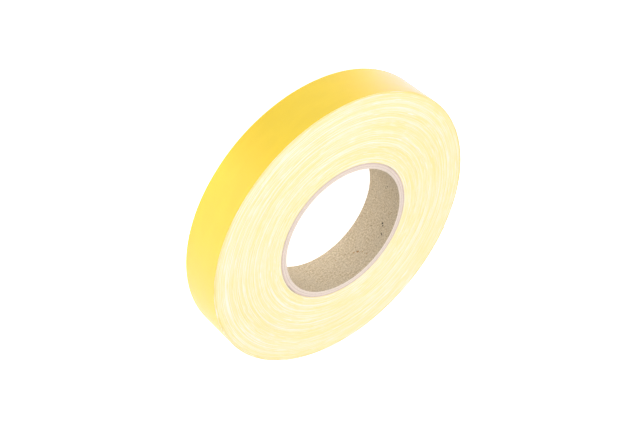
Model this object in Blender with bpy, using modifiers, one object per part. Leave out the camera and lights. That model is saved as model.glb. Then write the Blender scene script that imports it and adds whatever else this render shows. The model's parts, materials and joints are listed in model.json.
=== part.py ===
"""A roll of cloth-backed electrical tape on a spiral-wound paper core.

The roll lies flat. +Z is the winding axis, and the origin is the centre of the lower end face.

The core is a tube of paper plies. Each ply is a strip bent round once, whose two edges meet in a
slanted butt seam, and the seams are spread round the tube.

The tape is one long strip, wound outward and anticlockwise seen from above. Its turns are grouped in
bands, each the space between two turns of the winding spiral. The last turn is a strip of its own,
and its free end is a chain of short segments hinged at the strip's outer face.
"""
import math

import bmesh
import bpy

MM = 0.001

# Driving dimensions
WIDTH = 25 * MM
CORE_BORE_RADIUS = 38.1 * MM
CORE_WALL = 3.2 * MM
ROLL_RADIUS = 82.85 * MM
TURNS = 129

# Core build-up
INNER_LINER = 0.35 * MM
OUTER_LINER = 0.25 * MM
BODY_PLIES = 6
PLY_STRIP_WIDTH = 150 * MM
SEAM_GAP = 0.4 * MM
FIRST_SEAM_ANGLE = math.radians(60)
SEAM_SHIFT = math.radians(137)

# Tape build-up
TAPE_BANDS = ("inner", "mid_inner", "middle", "mid_outer", "outer")
TAPE_END_ANGLE = math.radians(225)
END_SEGMENTS = 8
END_SEGMENT_LENGTH = 5 * MM
STRIP_GAP = 0.3 * MM

# Clearance between two layers glued together, and facets round the roll
LAYER_GAP = 0.05 * MM
FACETS = 72
SEGMENT_FACETS = 2
SEAM_FACETS = 12
SCREW_MERGE = 0.00001

# Worked out from the above
CORE_OUTER_RADIUS = CORE_BORE_RADIUS + CORE_WALL
WINDING_RADIUS = CORE_OUTER_RADIUS + LAYER_GAP
PITCH = (ROLL_RADIUS - WINDING_RADIUS) / (TURNS + 0.5)
STRIP_THICKNESS = PITCH - LAYER_GAP
BODY_PLY = (CORE_WALL - INNER_LINER - OUTER_LINER - (BODY_PLIES + 1) * LAYER_GAP) / BODY_PLIES
FULL_TURN = 2 * math.pi


def clear_scene():
    for item in list(bpy.data.objects):
        bpy.data.objects.remove(item, do_unlink=True)


def new_collection(name):
    collection = bpy.data.collections.new(name)
    bpy.context.scene.collection.children.link(collection)
    return collection


def linear(red, green, blue):
    """A colour given in 0-255 display values, as the linear values that a shader takes."""
    values = [channel / 255 for channel in (red, green, blue)]
    return [v / 12.92 if v <= 0.04045 else ((v + 0.055) / 1.055) ** 2.4 for v in values]


def new_material(name, colour, roughness):
    material = bpy.data.materials.new(name)
    material.use_nodes = True
    shader = material.node_tree.nodes["Principled BSDF"]
    shader.inputs["Base Color"].default_value = (*colour, 1)
    shader.inputs["Roughness"].default_value = roughness
    shader.inputs["Metallic"].default_value = 0
    return material


def add_object(name, data, collection, material=None):
    item = bpy.data.objects.new(name, data)
    collection.objects.link(item)
    if material:
        data.materials.append(material)
    return item


# ---------------------------------------------------------------- core

def turned_ring(name, inner, outer, collection, material):
    """A square-edged ring of the roll's width, turned from its section."""
    section = [(outer, WIDTH), (outer, 0), (inner, 0), (inner, WIDTH)]
    mesh = bpy.data.meshes.new(name)
    points = [(radius, 0, height) for radius, height in section]
    edges = [(i, (i + 1) % len(points)) for i in range(len(points))]
    mesh.from_pydata(points, edges, [])
    ring = add_object(name, mesh, collection, material)
    screw = ring.modifiers.new("Turn", "SCREW")
    screw.steps = FACETS
    screw.render_steps = FACETS
    screw.use_merge_vertices = True
    screw.merge_threshold = SCREW_MERGE
    screw.use_smooth_shade = True
    return ring


def seam_cutter(name, inner, outer, angle, collection):
    """A slanted ribbon through the ply's wall, as wide as the seam. It follows the helix along
    which a strip of PLY_STRIP_WIDTH meets its own edge."""
    margin = 2 * MM
    mean_radius = (inner + outer) / 2
    helix_angle = math.asin(PLY_STRIP_WIDTH / (FULL_TURN * mean_radius))
    height = WIDTH + 2 * margin
    sweep = height / math.tan(helix_angle) / mean_radius
    build = bmesh.new()
    bmesh.ops.create_grid(build, x_segments=SEAM_FACETS, y_segments=1, size=0.5)
    for vert in build.verts:
        along = vert.co.x + 0.5
        radius = mean_radius + 2 * vert.co.y * (margin + (outer - inner) / 2)
        turn = angle + (along - 0.5) * sweep
        vert.co = (radius * math.cos(turn), radius * math.sin(turn), along * height - margin)
    mesh = bpy.data.meshes.new(name)
    build.to_mesh(mesh)
    build.free()
    cutter = add_object(name, mesh, collection)
    cutter.hide_render = True
    cutter.display_type = "WIRE"
    thicken = cutter.modifiers.new("Seam width", "SOLIDIFY")
    thicken.thickness = SEAM_GAP
    thicken.offset = 0
    return cutter


def ply(name, inner, thickness, seam_angle, parts, cutters, material):
    outer = inner + thickness
    ring = turned_ring(name, inner, outer, parts, material)
    cut = ring.modifiers.new("Butt seam", "BOOLEAN")
    cut.operation = "DIFFERENCE"
    cut.solver = "EXACT"
    cut.object = seam_cutter(name + "_seam", inner, outer, seam_angle, cutters)
    return outer + LAYER_GAP


def build_core(parts, cutters):
    board = new_material("recycled_board", linear(196, 178, 148), 0.9)
    kraft = new_material("core_board", linear(222, 203, 186), 0.9)
    white = new_material("white_liner", linear(240, 226, 214), 0.85)
    radius = ply("core_inner_liner", CORE_BORE_RADIUS, INNER_LINER, FIRST_SEAM_ANGLE,
                 parts, cutters, board)
    for number in range(1, BODY_PLIES + 1):
        seam_angle = FIRST_SEAM_ANGLE + number * SEAM_SHIFT
        radius = ply(f"core_ply_{number}", radius, BODY_PLY, seam_angle, parts, cutters, kraft)
    seam_angle = FIRST_SEAM_ANGLE + (BODY_PLIES + 1) * SEAM_SHIFT
    ply("core_outer_liner", radius, OUTER_LINER, seam_angle, parts, cutters, white)


# ---------------------------------------------------------------- tape

def spiral_point(turns, height=0.0):
    """A point so many turns along the strip's inner face, or so high above that face."""
    radius = WINDING_RADIUS + turns * PITCH + height
    angle = TAPE_END_ANGLE + turns * FULL_TURN
    return radius * math.cos(angle), radius * math.sin(angle)


def spiral_run(start, end, facets, height=0.0):
    """Points along the winding spiral between two turn counts."""
    return [spiral_point(start + (end - start) * i / facets, height) for i in range(facets + 1)]


def turns_of(length, at_turn):
    """How much of a turn a length of strip covers."""
    return length / (FULL_TURN * (WINDING_RADIUS + at_turn * PITCH))


def upright_solid(name, outlines, collection, material, pivot=(0, 0)):
    """Outlines in the XY plane, raised to the roll's width. The origin is the pivot."""
    curve = bpy.data.curves.new(name, "CURVE")
    curve.dimensions = "2D"
    curve.fill_mode = "BOTH"
    curve.extrude = WIDTH / 2
    for outline in outlines:
        spline = curve.splines.new("POLY")
        spline.points.add(len(outline) - 1)
        for point, (x, y) in zip(spline.points, outline):
            point.co = (x - pivot[0], y - pivot[1], 0, 1)
        spline.use_cyclic_u = True
    item = add_object(name, curve, collection, material)
    item.location = (*pivot, WIDTH / 2)
    return item


def tape_band(name, first_turn, next_turn, collection, material):
    """Whole turns of the strip as one solid. Its outside ends just short of the step where the
    strip goes on into the next band."""
    step_gap = turns_of(STRIP_GAP, next_turn)
    outside = spiral_run(next_turn, next_turn + 1 - step_gap, FACETS, -LAYER_GAP)
    inside = spiral_run(first_turn, first_turn + 1, FACETS)
    return upright_solid(name, [outside, inside], collection, material)


def strip(name, start, end, facets, collection, material, pivot=(0, 0)):
    """A single thickness of the strip between two turn counts."""
    outside = spiral_run(start, end, facets, STRIP_THICKNESS)
    inside = spiral_run(start, end, facets)
    return upright_solid(name, [outside + inside[::-1]], collection, material, pivot)


def build_tape(parts):
    yellow = new_material("yellow_cloth_tape", linear(246, 214, 72), 0.55)
    last_turn = TURNS - 1
    band_starts = [round(i * last_turn / len(TAPE_BANDS)) for i in range(len(TAPE_BANDS) + 1)]
    for name, first, following in zip(TAPE_BANDS, band_starts, band_starts[1:]):
        tape_band(f"tape_{name}_turns", first, following, parts, yellow)
    step_gap = turns_of(STRIP_GAP, TURNS)
    roll = strip("tape_last_turn", last_turn, TURNS - step_gap / 2, FACETS, parts, yellow)
    build_free_end(roll, parts, yellow)


def build_free_end(roll, parts, yellow):
    """The strip's free end, in segments that each hinge on the one before. A hinge's axis is
    upright, on the strip's outer face, midway between two segments."""
    half_gap = turns_of(STRIP_GAP, TURNS) / 2
    segment_turns = turns_of(END_SEGMENT_LENGTH, TURNS)
    parent = roll
    for number in range(1, END_SEGMENTS + 1):
        hinge_turn = TURNS + (number - 1) * segment_turns
        pivot = spiral_point(hinge_turn, STRIP_THICKNESS)
        segment = strip(f"tape_end_{number}", hinge_turn + half_gap,
                        hinge_turn + segment_turns - half_gap, SEGMENT_FACETS, parts, yellow, pivot)
        bpy.context.view_layer.update()
        segment.parent = parent
        segment.matrix_parent_inverse = parent.matrix_world.inverted()
        parent = segment


def main():
    clear_scene()
    parts = new_collection("tape_roll")
    cutters = new_collection("cutters")
    build_core(parts, cutters)
    build_tape(parts)


main()
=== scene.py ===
"""Looks for the roll of cloth-backed tape: every turn of the strip, the paper core and the free end.

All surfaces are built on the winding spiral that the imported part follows. A place along the strip is a
turn count from the core, as in the part: whole numbers lie at the azimuth of the free end's first hinge.
"""

import json
import math

import bpy
import numpy as np
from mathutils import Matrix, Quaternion, Vector


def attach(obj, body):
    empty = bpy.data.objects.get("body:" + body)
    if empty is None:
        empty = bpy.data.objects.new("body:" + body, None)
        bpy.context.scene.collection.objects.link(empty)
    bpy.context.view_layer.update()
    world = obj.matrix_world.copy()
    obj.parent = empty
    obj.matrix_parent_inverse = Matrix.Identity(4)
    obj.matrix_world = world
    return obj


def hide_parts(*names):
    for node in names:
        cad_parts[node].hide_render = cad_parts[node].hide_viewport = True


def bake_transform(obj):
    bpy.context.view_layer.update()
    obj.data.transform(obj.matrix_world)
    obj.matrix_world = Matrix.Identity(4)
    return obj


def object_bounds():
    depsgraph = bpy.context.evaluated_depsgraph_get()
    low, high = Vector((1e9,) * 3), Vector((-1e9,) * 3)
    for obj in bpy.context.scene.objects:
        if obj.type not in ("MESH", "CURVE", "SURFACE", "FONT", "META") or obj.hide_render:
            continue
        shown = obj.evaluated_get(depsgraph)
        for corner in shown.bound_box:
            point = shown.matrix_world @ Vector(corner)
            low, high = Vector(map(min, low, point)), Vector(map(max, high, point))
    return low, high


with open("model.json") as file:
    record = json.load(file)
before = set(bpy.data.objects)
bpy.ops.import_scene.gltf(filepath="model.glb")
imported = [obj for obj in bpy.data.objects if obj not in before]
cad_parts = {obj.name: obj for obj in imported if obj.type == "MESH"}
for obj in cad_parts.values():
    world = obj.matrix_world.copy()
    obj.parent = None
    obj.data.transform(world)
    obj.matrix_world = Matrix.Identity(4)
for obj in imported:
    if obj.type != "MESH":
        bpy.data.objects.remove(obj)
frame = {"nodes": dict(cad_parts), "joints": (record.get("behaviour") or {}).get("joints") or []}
cad_low, cad_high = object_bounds()

MM = 0.001
FULL_TURN = 2 * math.pi

# ---------------------------------------------------------------- sizes, from the frame


def axis_distances(node):
    """Smallest and largest distance of a CAD node's corners from the roll's axis."""
    points = np.array([vert.co for vert in frame["nodes"][node].data.vertices])
    distances = np.hypot(points[:, 0], points[:, 1])
    return float(distances.min()), float(distances.max())


TURNS = 129  # as in the part
BODY_PLIES = 6  # as in the part
WIDTH = cad_high.z - cad_low.z
BORE_RADIUS = axis_distances("core_inner_liner")[0]
WINDING_RADIUS = axis_distances("tape_inner_turns")[0]
PITCH = (axis_distances("tape_last_turn")[0] - WINDING_RADIUS) / (TURNS - 1)
ROLL_RADIUS = WINDING_RADIUS + (TURNS + 0.5) * PITCH
HINGES = [Vector(joint["pos_m"]) for joint in frame["joints"]]
END_ANGLE = math.atan2(HINGES[0].y, HINGES[0].x)
SEGMENT_TURNS = (math.atan2(HINGES[1].y, HINGES[1].x) - END_ANGLE) / FULL_TURN
TAPE_BANDS = ["tape_inner_turns", "tape_mid_inner_turns", "tape_middle_turns",
              "tape_mid_outer_turns", "tape_outer_turns"]
CORE_LAYERS = ["core_inner_liner", *(f"core_ply_{number}" for number in range(1, BODY_PLIES + 1)),
               "core_outer_liner"]

# Fineness of the tape's meshes, along the strip and across it
STEPS_PER_TURN = 240
SAMPLES_PER_TURN = 3
WALL_STEPS = 480
WALL_ROWS = 10
END_STEPS = 16
LAST_END_STEPS = 24
END_ROWS = 8

# Relief of the roll's end faces: depths and heights, and how many turns or samples one swell spans
GROOVE_DEPTH = 0.045 * MM
TURN_WANDER = 0.022 * MM
SLOW_WANDER = 0.05 * MM
THREAD_RISE = 0.07 * MM
SLOW_WANDER_TURNS = 9
QUICK_WANDER_SAMPLES = (26, 90)
TONE_SAMPLES = (60, 200)

# White thread that shows in the end faces' relief, as long arcs and short tufts: how many, how much
# of a turn each covers, how strong it is, how many turns wide, and how many turns beside it can show
# it. Tufts crowd on some stretches of the strip: how long those are, and how often a tuft strays.
LONG_ARCS = 300
LONG_ARC_SPAN = (0.03, 0.13)
LONG_ARC_STRENGTH = (0.35, 0.9)
SHORT_TUFTS = 2600
SHORT_TUFT_SPAN = (0.004, 0.022)
SHORT_TUFT_STRENGTH = (0.4, 1.0)
THREAD_SPREAD = (0.4, 0.9)
THREAD_REACH = 2
CROWD_SPAN = 0.35
TUFT_STRAY = 0.6

# Loose thread ends, as pieces of their own
WHISKERS = 240
WHISKER_REACH = (WINDING_RADIUS * 1.03, ROLL_RADIUS * 0.985)
WHISKER_LENGTH = (1.6 * MM, 6.5 * MM)
WHISKER_RADIUS = (0.035 * MM, 0.07 * MM)
WHISKER_LIFT = (0.02 * MM, 0.04 * MM)
WHISKER_BEND = 0.12
WHISKER_FLATNESS = 0.35
END_THREADS = 44
END_THREAD_ROOT = 0.35
END_THREAD_LENGTH = (0.4 * MM, 1.9 * MM)
END_THREAD_RADIUS = (0.035 * MM, 0.06 * MM)
END_THREAD_CURL = 0.5 * MM
END_THREAD_STRAY = 0.3 * MM
THREAD_POINTS = 9
THREAD_SIDES = 6

# The strip's cross-section and its free end, which has come a little away from the roll
TURN_GAP = 0.02 * MM
STRIP_THICKNESS = PITCH - TURN_GAP
STRIP_EDGE_RADIUS = 0.1 * MM
STRIP_CORNER_POINTS = 4
STRIP_ROW_MARGIN = 0.03
COATED_EDGE_ROWS = 1
ROOT_TURNS = 0.1 * SEGMENT_TURNS
END_TIP_TURN = TURNS + len(HINGES) * SEGMENT_TURNS
END_LIFT = 0.35 * MM
END_LIFT_TURNS = 0.4 * SEGMENT_TURNS

# Core seams, as the plies are wound
PLY_STRIP_WIDTH = 150 * MM
FIRST_SEAM_ANGLE = math.radians(60)
SEAM_SHIFT = math.radians(137)
SEAM_GAP = 0.3 * MM

# Core layers: fineness of the meshes, rounded cut ends, and how unevenly the plies end
CORE_STEPS = 180
CORE_ROWS = 22
CORE_ROW_MARGIN = 0.02
CORE_CORNER_POINTS = 3
CORE_EDGE_RADIUS = 0.09 * MM
CORE_TO_TAPE_GAP = 0.005 * MM
PLY_END_RISE = 0.03 * MM
PLY_END_WANDER = 0.02 * MM
PLY_END_WANDER_STEPS = 9
BORE_SWELL = 0.015 * MM
BORE_SWELL_STEPS = 14

# Flecks in the bore's board. The scattered ones' lengths and widths are in millimetres.
FLECK_SIDES = 11
FLECK_DOME = 0.09 * MM
FLECK_RIM = 0.03 * MM
FLECK_RAGGEDNESS = (0.6, 1.15)
SCATTERED_DARK_FLECKS = 26
SCATTERED_RUST_FLECKS = 30
SCATTERED_LENGTH = (0.4, 0.9)
SCATTERED_WIDTH = (0.25, 0.5)


# ---------------------------------------------------------------- mesh tools

def faces_between(index):
    """Faces that join each section's corners to the next one's, and each section's last to its first."""
    beside = np.roll(index, -1, axis=1)
    quads = np.stack([index[:-1], beside[:-1], beside[1:], index[1:]], axis=-1)
    return quads.reshape(-1, 4).tolist()


def sweep(sections):
    """Corners and faces of a closed section swept along its first index, with a face at both ends.
    The section runs outward over the top, down the outside, and back under the bottom."""
    steps, loop, _ = sections.shape
    index = np.arange(steps * loop).reshape(steps, loop)
    faces = faces_between(index) + [index[0, ::-1].tolist(), index[-1].tolist()]
    return sections.reshape(-1, 3), faces


def spiral_sweep(sections, turn_rows):
    """Faces of a section swept round once that ends so many rows further out than it began. What
    the two ends share is joined, so that only the steps inside and outside are left. Also returns
    which corners are still in use."""
    steps, loop, _ = sections.shape
    index = np.arange(steps * loop).reshape(steps, loop)
    rows = loop // 2
    shared = rows - turn_rows
    used = np.ones(index.shape, bool)
    used[-1, :shared] = False
    used[-1, loop - shared:] = False
    index[-1, :shared] = index[0, turn_rows:rows]
    index[-1, loop - shared:] = index[0, rows:rows + shared]
    inner_step = np.concatenate([index[0, :turn_rows + 1], index[0, loop - turn_rows - 1:]])
    outer_step = index[-1, shared - 1:rows + turn_rows + 1]
    numbers = np.cumsum(used) - 1
    faces = [numbers[face].tolist() for face in faces_between(index)]
    faces += [numbers[inner_step[::-1]].tolist(), numbers[outer_step].tolist()]
    return faces, used.ravel()


def new_piece(name, corners, faces, materials, body, replaced=(), sharp=40):
    """A piece that rides on a body, or on none if no body is given."""
    mesh = bpy.data.meshes.new(name)
    mesh.from_pydata(corners.tolist(), [], faces)
    piece = bpy.data.objects.new(name, mesh)
    bpy.context.scene.collection.objects.link(piece)
    for material in materials:
        mesh.materials.append(material)
    mesh.update()
    mesh.shade_smooth()
    mesh.set_sharp_from_angle(angle=math.radians(sharp))
    if body:
        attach(piece, body)
    if replaced:
        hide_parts(*replaced)
    return piece


def store(piece, name, values, kind="FLOAT"):
    """Keeps one value for each corner of the mesh, for the materials to read."""
    attribute = piece.data.attributes.new(name, kind, "POINT")
    field = "vector" if kind == "FLOAT_VECTOR" else "value"
    attribute.data.foreach_set(field, np.asarray(values, np.float32).ravel())


def paint_rows(piece, row_materials, steps):
    """Gives each row of a swept piece's faces its material, and its two end faces the second."""
    per_face = np.concatenate([np.tile(row_materials, steps), [1, 1]])
    piece.data.polygons.foreach_set("material_index", per_face.astype(np.int32))


def smooth_noise(count, spacing, rng):
    """Random values of unit spread, one every so many samples, eased into each other."""
    knots = rng.normal(size=int(count / spacing) + 3)
    place = np.arange(count) / spacing
    low = place.astype(int)
    ease = place - low
    ease = ease * ease * (3 - 2 * ease)
    return knots[low] * (1 - ease) + knots[low + 1] * ease


def two_noises(count, spacings, weights, rng):
    """A finer and a coarser smooth noise, added by weight."""
    fine = smooth_noise(count, spacings[0], rng) * weights[0]
    return fine + smooth_noise(count, spacings[1], rng) * weights[1]


# ---------------------------------------------------------------- the strip's cut edges

def thread_arcs(count, rng):
    """Places where an edge stands proud and shows its white cloth, from 0 to 1: a few long arcs, and
    many short tufts that keep to some stretches of the strip. Each reaches into the turns beside."""
    thread = np.zeros(count)
    crowd = smooth_noise(count, CROWD_SPAN * STEPS_PER_TURN, rng)
    for number in range(LONG_ARCS + SHORT_TUFTS):
        is_long = number < LONG_ARCS
        centre = rng.integers(count)
        if not is_long and crowd[centre] < rng.normal() * TUFT_STRAY:
            continue
        span = rng.uniform(*(LONG_ARC_SPAN if is_long else SHORT_TUFT_SPAN))
        strength = rng.uniform(*(LONG_ARC_STRENGTH if is_long else SHORT_TUFT_STRENGTH))
        spread = rng.uniform(*THREAD_SPREAD)
        half = int(STEPS_PER_TURN * span) + 1
        window = np.cos(np.linspace(-math.pi / 2, math.pi / 2, 2 * half + 1)) ** 0.7
        for neighbour in range(-THREAD_REACH, THREAD_REACH + 1):
            start = centre + neighbour * STEPS_PER_TURN - half
            share = strength * math.exp(-(neighbour / spread) ** 2)
            if 0 <= start and start + len(window) < count:
                part = thread[start:start + len(window)]
                np.maximum(part, window * share, out=part)
    ragged = 0.75 + 0.3 * smooth_noise(count, 2, rng)
    return np.clip(thread * ragged, 0, 1)


class FaceRelief:
    """How the strip's edge lies along its whole length on one end face: its height above the flat
    face, its tone, and where loose white thread shows."""

    def __init__(self, seed):
        rng = np.random.default_rng(seed)
        turns_covered = TURNS + 2
        count = turns_covered * STEPS_PER_TURN
        turn = np.arange(count) / STEPS_PER_TURN
        self.thread = thread_arcs(count, rng)
        slow = np.interp(turn, np.arange(turns_covered + 1),
                         smooth_noise(turns_covered + 1, SLOW_WANDER_TURNS, rng))
        quick = two_noises(count, QUICK_WANDER_SAMPLES, (0.6, 0.8), rng)
        self.height = slow * SLOW_WANDER + quick * TURN_WANDER + self.thread * THREAD_RISE
        self.tone = two_noises(count, TONE_SAMPLES, (0.5, 0.6), rng)


def read_along(turns, values):
    """One of a relief's tables, read at any places along the strip."""
    return np.interp(turns * STEPS_PER_TURN, np.arange(len(values)), values)


TOP = FaceRelief(seed=11)
BOTTOM = FaceRelief(seed=23)


# ---------------------------------------------------------------- tape

def spiral_xy(turns, height=0.0):
    """A place so many turns along the strip, at its inner face or so high above it."""
    radius = WINDING_RADIUS + turns * PITCH + height
    angle = END_ANGLE + turns * FULL_TURN
    return radius * np.cos(angle), radius * np.sin(angle)


def face_rows(relief, first, following):
    """One end face of a band, as rows round the roll. Each turn has a groove beside it and two
    samples across its edge. Returns each sample's place in turns, its share of the way round, and
    its height, groove, thread and tone."""
    steps = np.arange(STEPS_PER_TURN + 1) / STEPS_PER_TURN
    samples = np.arange(SAMPLES_PER_TURN * (following - first) + 1)
    whole_turns = samples // SAMPLES_PER_TURN + first
    grooves = samples % SAMPLES_PER_TURN == 0
    own = whole_turns[None, :] + steps[:, None]
    below = np.maximum(own - 1, 0)
    height = read_along(own, relief.height)
    groove_floor = np.minimum(height, read_along(below, relief.height)) - GROOVE_DEPTH
    height = np.where(grooves, groove_floor, height)
    thread = read_along(own, relief.thread)
    thread = np.where(grooves, np.minimum(thread, read_along(below, relief.thread)), thread)
    tone = read_along(own, relief.tone)
    turns = samples[None, :] / SAMPLES_PER_TURN + first + steps[:, None]
    return turns, steps, height, np.broadcast_to(grooves, height.shape), thread, tone


def tape_band(node, materials):
    """Whole turns of the wound strip, with the relief of their edges on both end faces."""
    first = round((axis_distances(node)[0] - WINDING_RADIUS) / PITCH)
    last = round((axis_distances(node)[1] - WINDING_RADIUS) / PITCH) - 1
    sections = []
    columns = {"groove": [], "thread": [], "tone": []}
    for relief, side in ((TOP, 1), (BOTTOM, -1)):
        turns, steps, height, groove, thread, tone = face_rows(relief, first, last)
        radius = WINDING_RADIUS + turns * PITCH
        angle = END_ANGLE + steps[:, None] * FULL_TURN
        level = WIDTH + height if side > 0 else -height
        points = np.stack([radius * np.cos(angle), radius * np.sin(angle),
                           np.broadcast_to(level, radius.shape)], axis=-1)
        for name, values in (("groove", groove), ("thread", thread), ("tone", tone)):
            columns[name].append(values[:, ::side])
        sections.append(points[:, ::side])
    sections = np.concatenate(sections, axis=1)
    faces, used = spiral_sweep(sections, SAMPLES_PER_TURN)
    piece = new_piece(node + "_wound", sections.reshape(-1, 3)[used], faces, materials, "roll",
                      [node], sharp=75)
    for name, parts in columns.items():
        store(piece, name, np.concatenate(parts, axis=1).ravel()[used])


def rounded_band(inner, outer, rounding, corner_points, rows, margin, top, bottom):
    """Closed sections of an upright band of the roll's width, rounded at its top and bottom edges.
    Each runs over the top, down the outside, under the bottom and up the inside. The walls have so
    many rows, kept a margin (a share of the width) away from the edges. top and bottom say how far
    each section's edges stand proud of the flat faces. Returns the reach and level of each corner,
    and how many corners an edge has."""
    corner = np.linspace(0, math.pi / 2, corner_points)
    across = np.concatenate([inner + rounding * (1 - np.cos(corner)),
                             outer - rounding * (1 - np.sin(corner))])
    drop = np.concatenate([rounding * (1 - np.sin(corner)), rounding * (1 - np.cos(corner))])
    reach = np.concatenate([across, np.full(rows, outer), across[::-1], np.full(rows, inner)])
    upper = WIDTH + top[:, None] - drop[None, :]
    lower = -bottom[:, None] + drop[None, ::-1]
    down = WIDTH * (1 - np.linspace(margin, 1 - margin, rows))
    level = np.concatenate([upper, np.tile(down, (len(top), 1)), lower,
                            np.tile(down[::-1], (len(top), 1))], axis=1)
    return reach, level, len(across)


def end_lift(turns):
    """How far the strip has come away from the roll: only over the cut end's last few millimetres."""
    share = np.clip(1 - (END_TIP_TURN - turns) / END_LIFT_TURNS, 0, 1)
    return END_LIFT * share ** 2


def strip_piece(name, start, end, steps, rows, body, node, materials):
    """A single thickness of the strip between two places. Outer faces take the first material,
    cut edges the second and the adhesive side the third."""
    turns = np.linspace(start, end, steps + 1)
    over, level, rim = rounded_band(0, STRIP_THICKNESS, STRIP_EDGE_RADIUS, STRIP_CORNER_POINTS,
                                    rows, STRIP_ROW_MARGIN, read_along(turns, TOP.height),
                                    read_along(turns, BOTTOM.height))
    x, y = spiral_xy(turns[:, None], over[None, :] + end_lift(turns)[:, None])
    corners, faces = sweep(np.stack([x, y, level], axis=-1))
    piece = new_piece(name, corners, faces, materials, body, [node])
    row_materials = np.ones(len(over), int)
    row_materials[rim - 1 - COATED_EDGE_ROWS:rim + rows + COATED_EDGE_ROWS] = 0
    row_materials[2 * rim + rows - 1:] = 2
    paint_rows(piece, row_materials, steps)
    length = (WINDING_RADIUS + TURNS * PITCH) * FULL_TURN * (turns - TURNS)
    place = np.stack([np.broadcast_to(length[:, None], level.shape), level,
                      np.broadcast_to(over[None, :], level.shape)], axis=-1)
    store(piece, "strip", place, "FLOAT_VECTOR")
    for attribute, values in (("thread", TOP.thread), ("tone", TOP.tone)):
        store(piece, attribute, np.broadcast_to(read_along(turns, values)[:, None], level.shape))
    store(piece, "groove", np.zeros(level.size))
    return piece


def tape_wall(materials):
    """The last turn, whose outside is the roll's wall."""
    strip_piece("tape_last_turn_wound", TURNS - 1, TURNS - ROOT_TURNS, WALL_STEPS, WALL_ROWS,
                "roll", "tape_last_turn", materials)


def tape_free_end(materials):
    """The free end, in pieces that each reach across one hinge, from the middle of one segment to
    the middle of the next. The first starts just before its hinge, and the last goes on to the strip's
    tip."""
    bodies = ["roll", *(f"end_{number}" for number in range(1, len(HINGES) + 1))]
    half = SEGMENT_TURNS * 0.5
    for number, (before, after) in enumerate(zip(bodies, bodies[1:]), start=1):
        hinge = TURNS + (number - 1) * SEGMENT_TURNS
        start = hinge - (ROOT_TURNS if number == 1 else half)
        last = number == len(HINGES)
        end = END_TIP_TURN if last else hinge + half
        steps = LAST_END_STEPS if last else END_STEPS
        piece = strip_piece(f"tape_end_{number}_strip", start, end, steps, END_ROWS, None,
                            f"tape_end_{number}", materials)
        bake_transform(piece)


def tube(path, radius, flatness):
    """Corners and faces of a thin thread along a path, pointed at both ends. A flatness below 1
    presses it flat."""
    heading = np.gradient(path, axis=0)
    heading /= np.linalg.norm(heading, axis=1)[:, None]
    side = np.cross(heading, (0, 0, 1.0))
    side /= np.linalg.norm(side, axis=1)[:, None]
    rise = np.cross(side, heading) * flatness
    taper = radius * np.sin(np.linspace(0.12, math.pi - 0.12, len(path))) ** 0.5
    angle = np.arange(THREAD_SIDES) * FULL_TURN / THREAD_SIDES
    ring = (np.cos(angle)[None, :, None] * side[:, None, :]
            - np.sin(angle)[None, :, None] * rise[:, None, :])
    return sweep(path[:, None, :] + ring * taper[:, None, None])


def threads_piece(name, paths, material, body, flatness):
    """Many thin threads as one piece. Each entry of paths is a line of points and a radius."""
    corners, faces = [], []
    for path, radius in paths:
        points, sides = tube(path, radius, flatness)
        start = sum(len(part) for part in corners)
        faces += [[index + start for index in side] for side in sides]
        corners.append(points)
    new_piece(name, np.concatenate(corners), faces, [material], body, sharp=80)


def whiskers(name, level, outward, material, seed):
    """Short ends of white thread that lie on an end face, nearly along the turns. outward is 1 on
    the upper face and -1 on the lower one."""
    rng = np.random.default_rng(seed)
    paths = []
    share = np.linspace(-0.5, 0.5, THREAD_POINTS)
    for _ in range(WHISKERS):
        radius = math.sqrt(rng.uniform(WHISKER_REACH[0] ** 2, WHISKER_REACH[1] ** 2))
        azimuth = rng.uniform(0, FULL_TURN)
        length = rng.uniform(*WHISKER_LENGTH)
        thread_radius = rng.uniform(*WHISKER_RADIUS)
        lean = rng.normal() * WHISKER_BEND * length
        bow = rng.normal() * WHISKER_BEND * length
        reach = radius + lean * share + bow * share ** 2
        angle = azimuth + share * length / radius
        lift = rng.uniform(*WHISKER_LIFT) * (1 + np.sin(share * rng.uniform(3, 8)))
        path = np.stack([reach * np.cos(angle), reach * np.sin(angle), level + outward * lift], axis=-1)
        paths.append((path, thread_radius))
    threads_piece(name, paths, material, "roll", WHISKER_FLATNESS)


def end_threads(material):
    """The frayed warp threads that stick out of the strip's cut end, each rooted inside it."""
    rng = np.random.default_rng(31)
    share = np.linspace(-END_THREAD_ROOT, 1, THREAD_POINTS)
    outside = np.clip(share, 0, 1)
    paths = []
    for level in np.linspace(STRIP_ROW_MARGIN, 1 - STRIP_ROW_MARGIN, END_THREADS) * WIDTH:
        length = rng.uniform(*END_THREAD_LENGTH)
        turns = END_TIP_TURN + share * length / (ROLL_RADIUS * FULL_TURN)
        curl = rng.uniform(0, END_THREAD_CURL) * outside ** 2
        height = STRIP_THICKNESS / 2 + end_lift(np.minimum(turns, END_TIP_TURN)) + curl
        x, y = spiral_xy(turns, height)
        stray = rng.normal() * END_THREAD_STRAY * outside
        path = np.stack([x, y, level + stray], axis=-1)
        paths.append((path, rng.uniform(*END_THREAD_RADIUS)))
    threads_piece("tape_end_threads", paths, material, f"end_{len(HINGES)}", flatness=1)


# ---------------------------------------------------------------- core

def seam_sweep(radius):
    """How far round the tube a ply's slanted seam runs across the roll's width."""
    helix_angle = math.asin(PLY_STRIP_WIDTH / (FULL_TURN * radius))
    return WIDTH / math.tan(helix_angle) / radius


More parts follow.
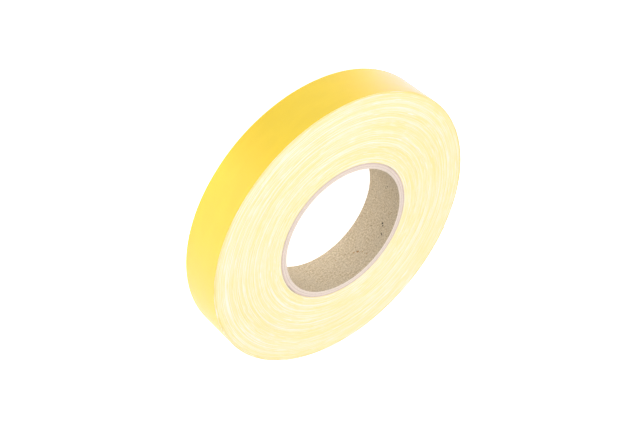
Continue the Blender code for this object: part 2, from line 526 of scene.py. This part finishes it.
def core_layer(node, number, materials):
    """One ply: a strip bent round once, whose edges meet in a slanted seam. Its cut ends are rounded
    and stand a little unevenly. Its walls take the first material and its ends the second."""
    rng = np.random.default_rng(40 + number)
    inner, outer = axis_distances(node)
    if node == CORE_LAYERS[-1]:
        outer = WINDING_RADIUS - CORE_TO_TAPE_GAP
    end_wander = smooth_noise(CORE_STEPS + 1, PLY_END_WANDER_STEPS, rng) * PLY_END_WANDER
    proud = rng.normal() * PLY_END_RISE + end_wander
    radius, level, rim = rounded_band(inner, outer, min(CORE_EDGE_RADIUS, (outer - inner) / 3),
                                      CORE_CORNER_POINTS, CORE_ROWS, CORE_ROW_MARGIN, proud, proud)
    mean = (inner + outer) / 2
    seam = FIRST_SEAM_ANGLE + number * SEAM_SHIFT
    slant = (level / WIDTH - 0.5) * seam_sweep(mean)
    open_angle = SEAM_GAP / mean
    along = np.linspace(open_angle / 2, FULL_TURN - open_angle / 2, CORE_STEPS + 1)
    angle = seam + slant + along[:, None]
    swell = smooth_noise(CORE_STEPS + 1, BORE_SWELL_STEPS, rng)[:, None] * BORE_SWELL
    reach = radius[None, :] + (swell if number == 0 else 0)
    corners, faces = sweep(np.stack([reach * np.cos(angle), reach * np.sin(angle), level], axis=-1))
    piece = new_piece(node + "_wound", corners, faces, materials, "roll", [node])
    row_materials = np.ones(len(radius), int)
    row_materials[rim - 1:rim + CORE_ROWS] = 0
    row_materials[2 * rim + CORE_ROWS - 1:] = 0
    paint_rows(piece, row_materials, CORE_STEPS)
    place = np.stack([mean * angle, level, np.broadcast_to(radius[None, :], level.shape)], axis=-1)
    store(piece, "sheet", place, "FLOAT_VECTOR")


class Fleck:
    """A scrap in the recycled board: where it lies round the bore, how high, its size and its slant,
    given in degrees and millimetres."""

    def __init__(self, azimuth, height, length, width, slant=0):
        self.azimuth = math.radians(azimuth)
        self.height = height * MM
        self.length = length * MM
        self.width = width * MM
        self.slant = math.radians(slant)


DARK_FLECKS = [Fleck(251.6, 17.0, 1.6, 1.2, slant=35), Fleck(250, 18.0, 1.4, 0.9, slant=10),
               Fleck(243.6, 19.8, 2.4, 0.8, slant=-60), Fleck(287, 15.0, 1.2, 1.0),
               Fleck(284, 13.8, 0.9, 0.7)]
RUST_FLECKS = [Fleck(219.5, 14.1, 1.7, 1.2, slant=20), Fleck(223, 19.5, 1.1, 0.6, slant=70),
               Fleck(216.5, 12.6, 1.0, 0.7), Fleck(222, 16.4, 0.9, 0.5, slant=40)]


def scattered_flecks(count, rng):
    """More scraps of the same kinds, all smaller, anywhere in the bore."""
    return [Fleck(rng.uniform(0, 360), rng.uniform(1, WIDTH / MM - 1), rng.uniform(*SCATTERED_LENGTH),
                  rng.uniform(*SCATTERED_WIDTH), rng.uniform(-90, 90)) for _ in range(count)]


def board_flecks(name, flecks, material, seed):
    """Thin ragged scraps pressed into the bore's liner, each a low dome."""
    rng = np.random.default_rng(seed)
    around = np.arange(FLECK_SIDES) * FULL_TURN / FLECK_SIDES
    reach = BORE_RADIUS - np.append(FLECK_DOME, np.full(FLECK_SIDES, FLECK_RIM))
    corners, faces = [], []
    for fleck in flecks:
        ragged = rng.uniform(*FLECK_RAGGEDNESS, FLECK_SIDES)
        along = np.append(0, np.cos(around) * ragged * fleck.length / 2)
        up = np.append(0, np.sin(around) * ragged * fleck.width / 2)
        turned = along * math.cos(fleck.slant) - up * math.sin(fleck.slant)
        rise = along * math.sin(fleck.slant) + up * math.cos(fleck.slant)
        angle = fleck.azimuth + turned / BORE_RADIUS
        top = len(corners)
        rim = [top + 1 + number for number in range(FLECK_SIDES)]
        corners += np.stack([reach * np.cos(angle), reach * np.sin(angle), fleck.height + rise],
                            axis=-1).tolist()
        faces += [[top, after, corner] for corner, after in zip(rim, rim[1:] + rim[:1])]
        faces.append(rim)
    new_piece(name, np.array(corners), faces, [material], "roll")


# ---------------------------------------------------------------- materials

class Nodes:
    """A short way to write a material's node tree."""

    def __init__(self, name):
        self.material = bpy.data.materials.new(name)
        self.material.use_nodes = True
        self.tree = self.material.node_tree
        self.shader = self.tree.nodes["Principled BSDF"]

    def add(self, kind, settings=None, **inputs):
        """A new node with its settings, and a value or a link for each input named."""
        node = self.tree.nodes.new(kind)
        for key, value in (settings or {}).items():
            setattr(node, key, value)
        for key, value in inputs.items():
            self.feed(node.inputs[key], value)
        return node

    def feed(self, socket, value):
        """Gives a socket a fixed value, or links another node's output to it."""
        if isinstance(value, bpy.types.NodeSocket):
            self.tree.links.new(value, socket)
        else:
            socket.default_value = value

    def math(self, operation, *values):
        node = self.add("ShaderNodeMath", {"operation": operation})
        for socket, value in zip(node.inputs, values):
            self.feed(socket, value)
        return node.outputs[0]

    def attribute(self, name, output="Fac"):
        node = self.add("ShaderNodeAttribute", {"attribute_name": name})
        return node.outputs[output]

    def ramp(self, value, start, end):
        """Runs smoothly from 0 to 1 as value goes from start to end, up or down."""
        node = self.add("ShaderNodeMapRange", {"interpolation_type": "SMOOTHSTEP"}, Value=value)
        node.inputs["From Min"].default_value = start
        node.inputs["From Max"].default_value = end
        return node.outputs["Result"]

    def spot(self):
        """The place on the piece, in the shared frame."""
        return self.add("ShaderNodeTexCoord").outputs["Object"]

    def vector_math(self, operation, output, *values):
        node = self.add("ShaderNodeVectorMath", {"operation": operation})
        for socket, value in zip(node.inputs, values):
            self.feed(socket, value)
        return node.outputs[output]

    def scaled(self, vector, x, y, z):
        """A vector times a number along each axis: for noise, how many features a metre."""
        return self.vector_math("MULTIPLY", "Vector", vector, (x, y, z))

    def heading(self):
        """The direction of the place from the roll's axis."""
        return self.vector_math("NORMALIZE", "Vector", self.scaled(self.spot(), 1, 1, 0))

    def reach(self):
        """The distance of the place from the roll's axis."""
        return self.vector_math("LENGTH", "Value", self.scaled(self.spot(), 1, 1, 0))

    def noise(self, vector, detail=2.0, roughness=0.5):
        node = self.add("ShaderNodeTexNoise", Vector=vector, Scale=1.0, Detail=detail,
                        Roughness=roughness)
        return node.outputs["Fac"]

    def mix(self, share, first, second):
        """A colour between two others."""
        node = self.add("ShaderNodeMix", {"data_type": "RGBA"})
        colour_sockets = (node.inputs[0], node.inputs[6], node.inputs[7])
        for socket, value in zip(colour_sockets, (share, first, second)):
            self.feed(socket, value)
        return node.outputs[2]

    def tint(self, colour, share, strength, other):
        """A colour with another laid over it: not at all where share is 0, and by strength where 1."""
        return self.mix(self.math("MULTIPLY", share, strength), colour, other)

    def bump(self, height, distance, strength):
        node = self.add("ShaderNodeBump", Height=height, Strength=strength, Distance=distance)
        self.feed(self.shader.inputs["Normal"], node.outputs["Normal"])

    def finish(self, colour, roughness, specular, sheen=0.0):
        """Sets the shader's own values and gives back the finished material."""
        self.feed(self.shader.inputs["Base Color"], colour)
        self.feed(self.shader.inputs["Roughness"], roughness)
        self.shader.inputs["Specular IOR Level"].default_value = specular
        self.shader.inputs["Sheen Weight"].default_value = sheen
        return self.material


def display(red, green, blue):
    """A colour given in 0-255 display values, as the linear values that a shader takes."""
    values = [channel / 255 for channel in (red, green, blue)]
    return (*(v / 12.92 if v <= 0.04045 else ((v + 0.055) / 1.055) ** 2.4 for v in values), 1.0)


WARP_SPACING = 0.42 * MM
WEFT_SPACING = 0.5 * MM


def woven(nodes, place):
    """Height of a plain weave: threads that run along and across the strip, over and under."""
    split = nodes.add("ShaderNodeSeparateXYZ", Vector=place)
    along = nodes.math("MULTIPLY", split.outputs["X"], math.pi / WEFT_SPACING)
    across = nodes.math("MULTIPLY", split.outputs["Y"], math.pi / WARP_SPACING)
    product = nodes.math("MULTIPLY", nodes.math("SINE", along), nodes.math("SINE", across))
    ribs_across = nodes.math("ABSOLUTE", nodes.math("SINE", across))
    ribs_along = nodes.math("ABSOLUTE", nodes.math("SINE", along))
    ribs = nodes.math("ADD", ribs_across, ribs_along)
    return nodes.math("ADD", nodes.math("MULTIPLY", product, 0.5), nodes.math("MULTIPLY", ribs, 0.5))


def coating_material():
    """The strip's outside: yellow plastic over the weave, semi-matt."""
    nodes = Nodes("yellow_coating")
    place = nodes.attribute("strip", "Vector")
    weave = woven(nodes, place)
    blotch = nodes.noise(nodes.scaled(place, 60, 160, 0), detail=3)
    streak = nodes.noise(nodes.scaled(place, 12, 900, 0), detail=2)
    speck = nodes.noise(nodes.scaled(place, 2600, 2600, 0), detail=1)
    yellow = nodes.mix(nodes.ramp(blotch, 0.35, 0.68), display(222, 191, 16), display(225, 194, 19))
    yellow = nodes.tint(yellow, nodes.ramp(streak, 0.55, 0.8), 0.12, display(213, 180, 13))
    yellow = nodes.tint(yellow, weave, 0.08, display(236, 202, 60))
    fine = nodes.math("ADD", nodes.math("MULTIPLY", weave, 0.8), nodes.math("MULTIPLY", speck, 0.35))
    nodes.bump(fine, 0.025 * MM, 0.6)
    roughness = nodes.math("ADD", nodes.math("MULTIPLY", blotch, 0.1), 0.27)
    return nodes.finish(yellow, roughness, specular=0.57)


def streaks(nodes, per_radian, per_metre, detail=2.0):
    """Noise drawn out round the roll's axis, with so many features a radian round it and so many a
    metre away from it."""
    around = nodes.scaled(nodes.heading(), per_radian, per_radian, 0)
    outward = nodes.add("ShaderNodeCombineXYZ", Z=nodes.math("MULTIPLY", nodes.reach(), per_metre))
    place = nodes.vector_math("ADD", "Vector", around, outward.outputs["Vector"])
    return nodes.noise(place, detail=detail, roughness=0.6)


def edge_material():
    """The cut edges of the wound strip: cream cloth and adhesive, white where thread stands proud,
    darker and yellower in the grooves between turns: partly the coating showing there, partly painted
    shade in the grooves."""
    nodes = Nodes("wound_edges")
    thread = nodes.attribute("thread")
    groove = nodes.attribute("groove")
    tone = nodes.attribute("tone")
    spot = nodes.spot()
    fibre = nodes.noise(nodes.scaled(spot, 2600, 2600, 2600), detail=3, roughness=0.65)
    patch = nodes.noise(nodes.scaled(spot, 55, 55, 55), detail=2)
    fine_tufts = streaks(nodes, per_radian=9, per_metre=1500)
    broad_tufts = streaks(nodes, per_radian=2.6, per_metre=1200)
    gaps = streaks(nodes, per_radian=1.6, per_metre=1900)
    long_arcs = streaks(nodes, per_radian=0.7, per_metre=2100, detail=1)
    cream = nodes.mix(nodes.ramp(tone, -1.0, 1.2), display(250, 237, 166), display(252, 242, 188))
    # Groove tint: the yellow is the coating at the turns' edges, the darkening is painted shade in the
    # grooves
    cream = nodes.tint(cream, groove, 0.4, display(245, 224, 138))
    cream = nodes.tint(cream, nodes.ramp(patch, 0.4, 0.75), 0.3, display(253, 243, 208))
    cream = nodes.tint(cream, nodes.ramp(gaps, 0.54, 0.7), 0.5, display(247, 226, 142))
    cream = nodes.tint(cream, nodes.ramp(broad_tufts, 0.52, 0.66), 0.32, display(254, 246, 222))
    cream = nodes.tint(cream, nodes.ramp(fine_tufts, 0.54, 0.7), 0.42, display(255, 248, 228))
    cream = nodes.tint(cream, nodes.ramp(long_arcs, 0.57, 0.64), 0.7, display(255, 251, 238))
    outermost = nodes.ramp(nodes.reach(), ROLL_RADIUS - 1.8 * MM, ROLL_RADIUS - 0.4 * MM)
    cream = nodes.tint(cream, outermost, 0.55, display(247, 222, 118))
    cream = nodes.mix(nodes.ramp(thread, 0.12, 0.75), cream, display(255, 249, 232))
    cream = nodes.tint(cream, nodes.ramp(fibre, 0.56, 0.72), 0.25, display(255, 252, 238))
    height = nodes.math("ADD", nodes.math("MULTIPLY", fibre, 0.4), fine_tufts)
    nodes.bump(height, 0.09 * MM, 0.6)
    return nodes.finish(cream, 0.85, specular=0.25, sheen=0.15)


def whisker_material():
    """Loose ends of the cloth's white thread, faintly soiled along their length."""
    nodes = Nodes("loose_thread")
    spot = nodes.spot()
    soil = nodes.noise(nodes.scaled(spot, 700, 700, 700), detail=2)
    twist = nodes.noise(nodes.scaled(spot, 5200, 5200, 5200), detail=1)
    colour = nodes.mix(nodes.ramp(soil, 0.35, 0.7), display(253, 247, 222), display(255, 253, 242))
    nodes.bump(twist, 0.03 * MM, 0.5)
    return nodes.finish(colour, 0.8, specular=0.25, sheen=0.3)


def adhesive_material():
    """The strip's inside: pale rubber adhesive over the cloth."""
    nodes = Nodes("adhesive_side")
    place = nodes.attribute("strip", "Vector")
    weave = woven(nodes, place)
    blotch = nodes.noise(nodes.scaled(place, 220, 260, 0), detail=3)
    colour = nodes.mix(nodes.ramp(blotch, 0.35, 0.7), display(214, 192, 128), display(228, 208, 150))
    colour = nodes.tint(colour, weave, 0.25, display(242, 228, 186))
    nodes.bump(weave, 0.03 * MM, 0.7)
    roughness = nodes.math("ADD", nodes.math("MULTIPLY", blotch, 0.2), 0.42)
    return nodes.finish(colour, roughness, specular=0.45)


def board_material():
    """Recycled board of the core's inner liner: grey-brown, mottled, with fibres and flecks."""
    nodes = Nodes("recycled_board")
    place = nodes.attribute("sheet", "Vector")
    mottle = nodes.noise(nodes.scaled(place, 1000, 1000, 0), detail=4, roughness=0.75)
    grain = nodes.noise(nodes.scaled(place, 2300, 2300, 0), detail=2, roughness=0.6)
    cloud = nodes.noise(nodes.scaled(place, 130, 170, 0), detail=3)
    pale_fibre = nodes.noise(nodes.scaled(place, 500, 3600, 0), detail=2)
    dark_fibre = nodes.noise(nodes.scaled(place, 3200, 700, 0), detail=2)
    colour = nodes.mix(nodes.ramp(mottle, 0.34, 0.66), display(175, 157, 129), display(224, 209, 183))
    colour = nodes.tint(colour, nodes.ramp(grain, 0.52, 0.66), 0.45, display(158, 141, 117))
    colour = nodes.tint(colour, nodes.ramp(cloud, 0.4, 0.75), 0.35, display(206, 194, 174))
    colour = nodes.tint(colour, nodes.ramp(pale_fibre, 0.58, 0.7), 0.55, display(236, 226, 204))
    colour = nodes.tint(colour, nodes.ramp(dark_fibre, 0.6, 0.72), 0.5, display(138, 120, 96))
    for per_metre, size, speck in ((230, 0.09, display(104, 92, 78)),
                                   (170, 0.075, display(176, 120, 70)),
                                   (260, 0.09, display(238, 232, 216))):
        cells = nodes.add("ShaderNodeTexVoronoi", Scale=1.0, Randomness=1.0,
                          Vector=nodes.scaled(place, per_metre, per_metre * 1.6, per_metre))
        dot = nodes.ramp(cells.outputs["Distance"], size, size * 0.5)
        colour = nodes.tint(colour, dot, 0.75, speck)
    height = nodes.math("ADD", mottle, nodes.math("MULTIPLY", pale_fibre, 0.5))
    nodes.bump(height, 0.06 * MM, 0.7)
    return nodes.finish(colour, 0.92, specular=0.2)


def ply_end_material(name, light, dark):
    """The cut end of a paper ply: short fibres, paler and darker by turns."""
    nodes = Nodes(name)
    place = nodes.attribute("sheet", "Vector")
    fibre = nodes.noise(nodes.scaled(place, 1500, 900, 5200), detail=3, roughness=0.65)
    cloud = nodes.noise(nodes.scaled(place, 160, 160, 160), detail=2)
    colour = nodes.mix(nodes.ramp(fibre, 0.3, 0.7), dark, light)
    colour = nodes.tint(colour, cloud, 0.25, light)
    nodes.bump(fibre, 0.06 * MM, 0.6)
    return nodes.finish(colour, 0.9, specular=0.2)


def fleck_material(name, light, dark):
    """A scrap of printed or stained paper, uneven in tone."""
    nodes = Nodes(name)
    blot = nodes.noise(nodes.scaled(nodes.spot(), 2600, 2600, 2600), detail=3, roughness=0.7)
    nodes.bump(blot, 0.04 * MM, 0.6)
    return nodes.finish(nodes.mix(nodes.ramp(blot, 0.35, 0.65), light, dark), 0.85, specular=0.25)


# ---------------------------------------------------------------- build

def build_roll():
    edges = edge_material()
    strip_materials = [coating_material(), edges, adhesive_material()]
    for node in TAPE_BANDS:
        tape_band(node, [edges])
    tape_wall(strip_materials)
    tape_free_end(strip_materials)
    loose = whisker_material()
    whiskers("upper_face_threads", WIDTH, 1, loose, seed=5)
    whiskers("lower_face_threads", 0.0, -1, loose, seed=6)
    end_threads(loose)


def build_core():
    board = board_material()
    pale = ply_end_material("core_pale_ends", display(246, 232, 219), display(229, 212, 199))
    middle = ply_end_material("core_middle_ends", display(234, 217, 206), display(214, 196, 185))
    mauve = ply_end_material("core_outer_ends", display(233, 213, 206), display(214, 192, 185))
    ends = [pale, pale, pale, middle, pale, pale, mauve, mauve]
    for number, (node, end) in enumerate(zip(CORE_LAYERS, ends)):
        core_layer(node, number, [board if number == 0 else pale, end])
    rng = np.random.default_rng(77)
    dark = fleck_material("dark_scrap", display(112, 104, 94), display(62, 58, 54))
    rust = fleck_material("rust_scrap", display(184, 146, 106), display(152, 112, 76))
    dark_flecks = DARK_FLECKS + scattered_flecks(SCATTERED_DARK_FLECKS, rng)
    rust_flecks = RUST_FLECKS + scattered_flecks(SCATTERED_RUST_FLECKS, rng)
    board_flecks("core_dark_flecks", dark_flecks, dark, seed=8)
    board_flecks("core_rust_flecks", rust_flecks, rust, seed=9)


# ---------------------------------------------------------------- studio

CAMERA_AZIMUTH = math.radians(45)
CAMERA_ELEVATION = math.radians(36.32)
CAMERA_ROLL = math.radians(130.05)
CAMERA_LENS = 70.53
SENSOR_WIDTH = 36
CAMERA_DISTANCE = 7.9504 * ROLL_RADIUS
AIM_LEFT = 0.1561 * ROLL_RADIUS
AIM_UP = 0.1148 * ROLL_RADIUS
WORLD_STRENGTH = 0.45


def direction(azimuth, elevation):
    """The direction from the roll to a place seen at an azimuth and an elevation."""
    return Vector((math.cos(azimuth) * math.cos(elevation), math.sin(azimuth) * math.cos(elevation),
                   math.sin(elevation)))


def make_camera():
    """Looks at the upper face from the side, tilted so that the roll seems to float. The roll's
    centre lies a little right of and below the middle of the view."""
    data = bpy.data.cameras.new("camera")
    data.lens = CAMERA_LENS
    data.sensor_width = SENSOR_WIDTH
    camera = bpy.data.objects.new("camera", data)
    bpy.context.scene.collection.objects.link(camera)
    back = direction(CAMERA_AZIMUTH, CAMERA_ELEVATION)
    turned = (-back).to_track_quat("-Z", "Y") @ Quaternion((0, 0, 1), CAMERA_ROLL)
    right = turned @ Vector((1, 0, 0))
    up = turned @ Vector((0, 1, 0))
    aim = Vector((0, 0, cad_high.z)) - AIM_LEFT * right + AIM_UP * up
    camera.rotation_mode = "QUATERNION"
    camera.rotation_quaternion = turned
    camera.location = aim + back * CAMERA_DISTANCE
    bpy.context.scene.camera = camera


def soft_light(name, azimuth, elevation, distance, size, power):
    """A round light that faces the roll."""
    data = bpy.data.lights.new(name, "AREA")
    data.shape = "DISK"
    data.size = size
    data.energy = power
    light = bpy.data.objects.new(name, data)
    bpy.context.scene.collection.objects.link(light)
    back = direction(math.radians(azimuth), math.radians(elevation))
    light.location = back * distance
    light.rotation_mode = "QUATERNION"
    light.rotation_quaternion = (-back).to_track_quat("-Z", "Y")


FLOOR_HALF_SIZE = 3.0
FLOOR_DROP = 0.2 * MM
FLOOR_FRONT_AZIMUTH = math.radians(16)
FLOOR_BACK_AZIMUTH = math.radians(160)
FLOOR_ROSE_AZIMUTH = math.radians(330)
FLOOR_GLOW = (1.0, 1.0, 1.0, 1.0)
FLOOR_SIDE_GLOW = (1.0, 0.84, 1.0, 1.0)
FLOOR_ROSE_GLOW = (1.0, 0.36, 1.0, 1.0)


def floor_material():
    """A pale floor that is partly lit from below, as a packshot table is: most on both sides of the
    roll, less behind it, and least in front and inside the bore. Its light is rosier on one side."""
    nodes = Nodes("pale_floor")
    grain = nodes.noise(nodes.scaled(nodes.spot(), 14, 14, 14), detail=2)
    colour = nodes.mix(grain, display(244, 244, 243), display(250, 250, 249))
    heading = nodes.heading()

    def toward(azimuth):
        """1 straight towards an azimuth from the roll's axis, and 0 square to it."""
        return nodes.vector_math("DOT_PRODUCT", "Value", heading, direction(azimuth, 0))

    side = nodes.ramp(toward(FLOOR_FRONT_AZIMUTH), 0.98, 0.72)
    behind = nodes.ramp(toward(FLOOR_BACK_AZIMUTH), 1.0, 0.3)
    outside = nodes.ramp(nodes.reach(), BORE_RADIUS * 0.9, BORE_RADIUS * 1.8)
    share = nodes.math("MULTIPLY", nodes.math("MULTIPLY", side, outside),
                       nodes.math("MULTIPLY_ADD", behind, 0.55, 0.45))
    rosy = nodes.ramp(toward(FLOOR_ROSE_AZIMUTH), 0.78, 0.95)
    glow = nodes.mix(share, FLOOR_GLOW, nodes.mix(rosy, FLOOR_SIDE_GLOW, FLOOR_ROSE_GLOW))
    nodes.feed(nodes.shader.inputs["Emission Color"], glow)
    nodes.feed(nodes.shader.inputs["Emission Strength"], nodes.math("MULTIPLY_ADD", share, 0.9, 0.42))
    return nodes.finish(colour, 0.8, specular=0.2)


def make_floor():
    """The floor lies just under the loose threads of the roll's lower face."""
    half = FLOOR_HALF_SIZE
    mesh = bpy.data.meshes.new("floor")
    mesh.from_pydata([(-half, -half, 0), (half, -half, 0), (half, half, 0), (-half, half, 0)], [],
                     [(0, 1, 2, 3)])
    floor = bpy.data.objects.new("floor", mesh)
    floor.location.z = cad_low.z - FLOOR_DROP
    bpy.context.scene.collection.objects.link(floor)
    mesh.materials.append(floor_material())


def make_studio():
    world = bpy.data.worlds.new("studio")
    bpy.context.scene.world = world
    world.use_nodes = True
    background = world.node_tree.nodes["Background"]
    background.inputs["Color"].default_value = (1, 1, 1, 1)
    background.inputs["Strength"].default_value = WORLD_STRENGTH
    soft_light("overhead", azimuth=60, elevation=70, distance=2.4, size=1.6, power=24.5)
    soft_light("key", azimuth=-25, elevation=52, distance=2.4, size=1.2, power=19)
    make_floor()
    bpy.context.scene.view_settings.view_transform = "Standard"


build_roll()
build_core()
make_camera()
make_studio()
